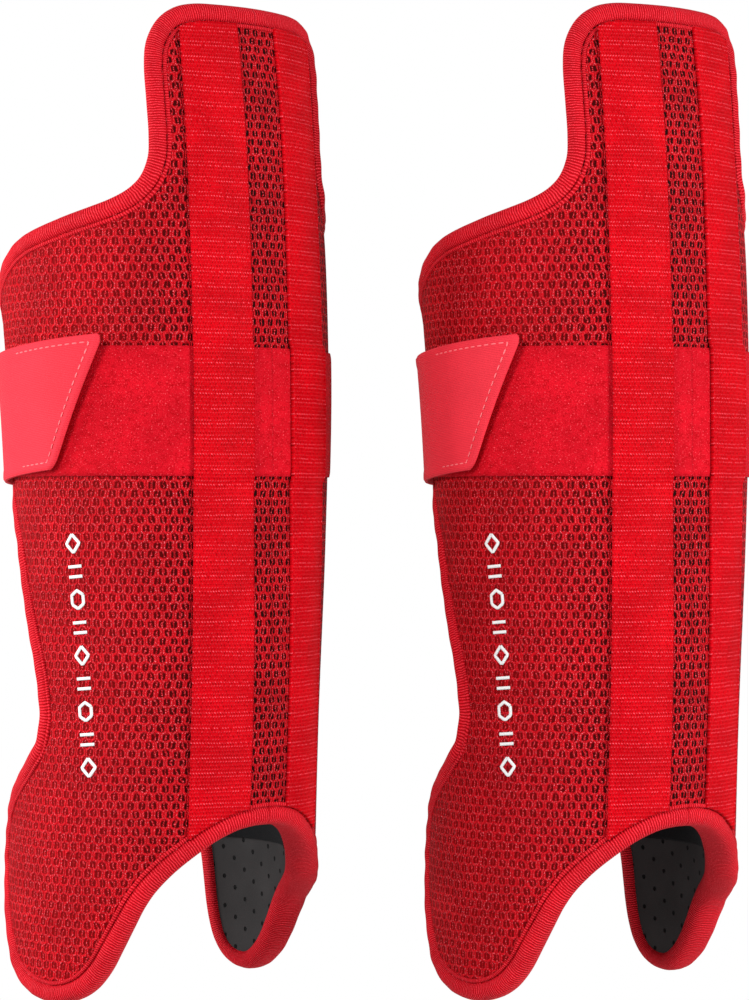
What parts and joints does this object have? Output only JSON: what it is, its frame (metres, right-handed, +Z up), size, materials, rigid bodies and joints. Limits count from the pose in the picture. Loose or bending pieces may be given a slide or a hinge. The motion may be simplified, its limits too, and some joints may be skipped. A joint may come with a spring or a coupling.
{
  "type": "hockey shin guards",
  "caption": "Pair of soft wrap-around shin guards: padded mesh shell with hook tapes, ribbed edge binding, ankle flaps and an elastic calf strap that opens.",
  "frame": {"origin": "on the left guard's leg axis, level with the lowest tips of the ankle flaps", "axes": "+Z up the leg; the guards stand side by side along +X, 176 mm apart, both fronts turned about 40 degrees from -Y towards +X"},
  "size_m": [0.3149, 0.1384, 0.4047],
  "materials": {
    "spacer_mesh": "open honeycomb spacer mesh",
    "foam": "closed cell foam",
    "plate": "matt",
    "lining": "brushed knit",
    "perforated_lining": "perforated, matt",
    "loop_web": "loop pile",
    "hook_tape": "woven hook tape",
    "binding": "ribbed knit tape",
    "elastic": "woven elastic",
    "print": "screen print"
  },
  "bodies": {
    "left_front": {"left_front_cover": "spacer_mesh", "left_shin_foam": "foam", "left_shin_plate": "plate", "left_front_liner": "lining", "left_front_loop_band": "loop_web", "left_near_hook_tape": "hook_tape", "left_far_hook_tape": "hook_tape", "left_tongue_binding": "binding", "left_arch_binding": "binding"},
    "left_near_wing": {"left_near_wing_cover": "spacer_mesh", "left_near_wing_foam": "foam", "left_near_calf_liner": "lining", "left_near_ankle_liner": "perforated_lining", "left_near_wing_loop_band": "loop_web", "left_near_wing_binding": "binding", "left_near_side_marks": "print"},
    "left_far_wing": {"left_far_wing_cover": "spacer_mesh", "left_far_wing_foam": "foam", "left_far_calf_liner": "lining", "left_far_ankle_liner": "perforated_lining", "left_far_wing_loop_band": "loop_web", "left_far_wing_binding": "binding", "left_strap_anchor": "elastic"},
    "left_strap_band": {"left_strap": "elastic"},
    "left_strap_end": {"left_strap_tab": "elastic", "left_hook_patch": "hook_tape"},
    "right_front": {"right_front_cover": "spacer_mesh", "right_shin_foam": "foam", "right_shin_plate": "plate", "right_front_liner": "lining", "right_front_loop_band": "loop_web", "right_near_hook_tape": "hook_tape", "right_far_hook_tape": "hook_tape", "right_tongue_binding": "binding", "right_arch_binding": "binding"},
    "right_near_wing": {"right_near_wing_cover": "spacer_mesh", "right_near_wing_foam": "foam", "right_near_calf_liner": "lining", "right_near_ankle_liner": "perforated_lining", "right_near_wing_loop_band": "loop_web", "right_near_wing_binding": "binding", "right_near_side_marks": "print"},
    "right_far_wing": {"right_far_wing_cover": "spacer_mesh", "right_far_wing_foam": "foam", "right_far_calf_liner": "lining", "right_far_ankle_liner": "perforated_lining", "right_far_wing_loop_band": "loop_web", "right_far_wing_binding": "binding", "right_strap_anchor": "elastic"},
    "right_strap_band": {"right_strap": "elastic"},
    "right_strap_end": {"right_strap_tab": "elastic", "right_hook_patch": "hook_tape"}
  },
  "joints": [
    {"name": "left_near_wing_open", "type": "hinge", "parent": "left_front", "child": "left_near_wing", "pos_m": [-0.00279, -0.07138, 0.2], "axis": [0, 0, 1], "range_deg": [0, 20]},
    {"name": "left_far_wing_open", "type": "hinge", "parent": "left_front", "child": "left_far_wing", "pos_m": [0.07143, 0.00004, 0.2], "axis": [0, 0, -1], "range_deg": [0, 20]},
    {"name": "left_strap_swing", "type": "hinge", "parent": "left_far_wing", "child": "left_strap_band", "pos_m": [-0.01243, 0.06671, 0.235], "axis": [0, 0, -1], "range_deg": [0, 95]},
    {"name": "left_tab_peel", "type": "hinge", "parent": "left_strap_band", "child": "left_strap_end", "pos_m": [-0.06822, -0.02219, 0.24], "axis": [0, 0, -1], "range_deg": [0, 110]},
    {"name": "right_near_wing_open", "type": "hinge", "parent": "right_front", "child": "right_near_wing", "pos_m": [0.16355, -0.07034, 0.2], "axis": [0, 0, 1], "range_deg": [0, 20]},
    {"name": "right_far_wing_open", "type": "hinge", "parent": "right_front", "child": "right_far_wing", "pos_m": [0.24678, -0.00965, 0.2], "axis": [0, 0, -1], "range_deg": [0, 20]},
    {"name": "right_strap_swing", "type": "hinge", "parent": "right_far_wing", "child": "right_strap_band", "pos_m": [0.17273, 0.06778, 0.235], "axis": [0, 0, -1], "range_deg": [0, 95]},
    {"name": "right_tab_peel", "type": "hinge", "parent": "right_strap_band", "child": "right_strap_end", "pos_m": [0.1054, -0.01272, 0.24], "axis": [0, 0, -1], "range_deg": [0, 110]},
    {"name": "pair_slide", "type": "slide", "parent": "left_front", "child": "right_front", "axis": [1, 0, 0], "range_m": [0, 0.25]}
  ],
  "couplings": [
    {"joint": "left_near_wing_open", "follows": "left_strap_swing", "ratio": 0.2},
    {"joint": "left_far_wing_open", "follows": "left_strap_swing", "ratio": 0.2},
    {"joint": "right_strap_swing", "follows": "pair_slide", "rad_per_m": 6.63},
    {"joint": "right_near_wing_open", "follows": "pair_slide", "rad_per_m": 1.32},
    {"joint": "right_far_wing_open", "follows": "pair_slide", "rad_per_m": 1.32},
    {"joint": "right_tab_peel", "follows": "pair_slide", "rad_per_m": 7.67}
  ]
}
